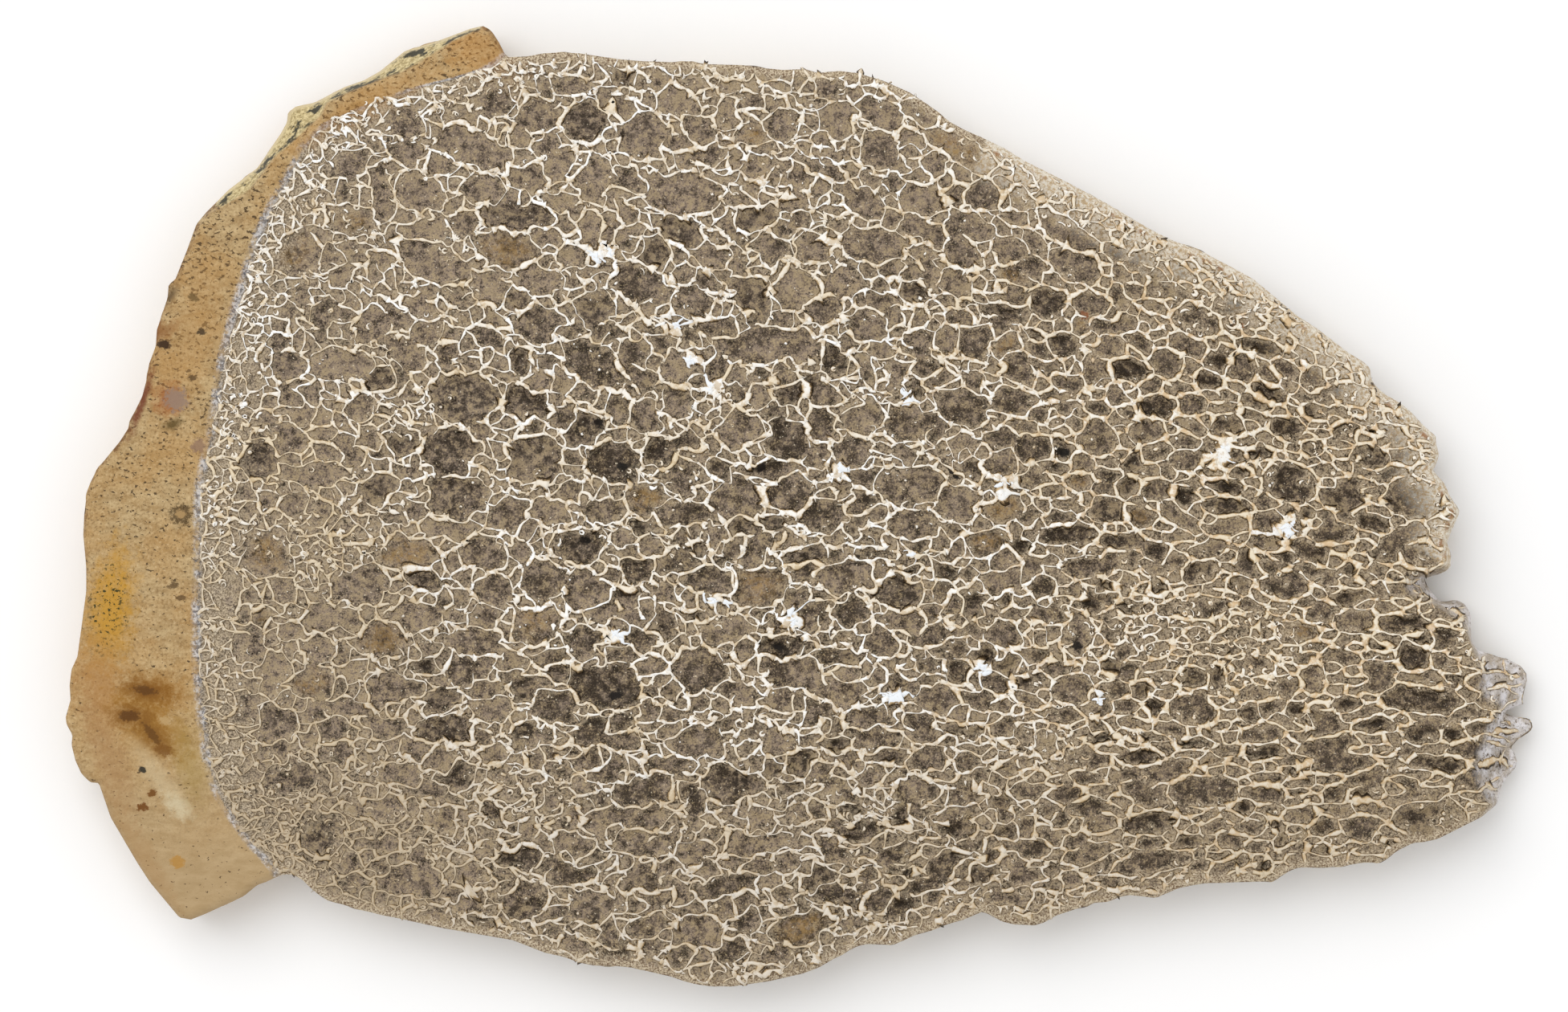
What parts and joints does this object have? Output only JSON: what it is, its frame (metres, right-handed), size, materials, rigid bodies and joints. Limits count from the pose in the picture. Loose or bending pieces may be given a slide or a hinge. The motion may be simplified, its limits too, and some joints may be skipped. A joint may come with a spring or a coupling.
{
  "type": "fossil bone slab",
  "caption": "Flat sawn slab of silicified dinosaur bone: an open web of marrow cells bordered by a band of dense outer bone, with a broken end.",
  "frame": {"origin": "middle of the slab's outline box, on its flat back", "axes": "+X along the slab from the outer bone towards the broken end, +Y towards the slab's straight upper edge, +Z out of the sawn face"},
  "size_m": [0.1501, 0.098, 0.008],
  "materials": {
    "fossil_stone": "sawn and lightly polished silicified bone"
  },
  "bodies": {
    "root": {"bone_slab": "fossil_stone"}
  },
  "joints": []
}
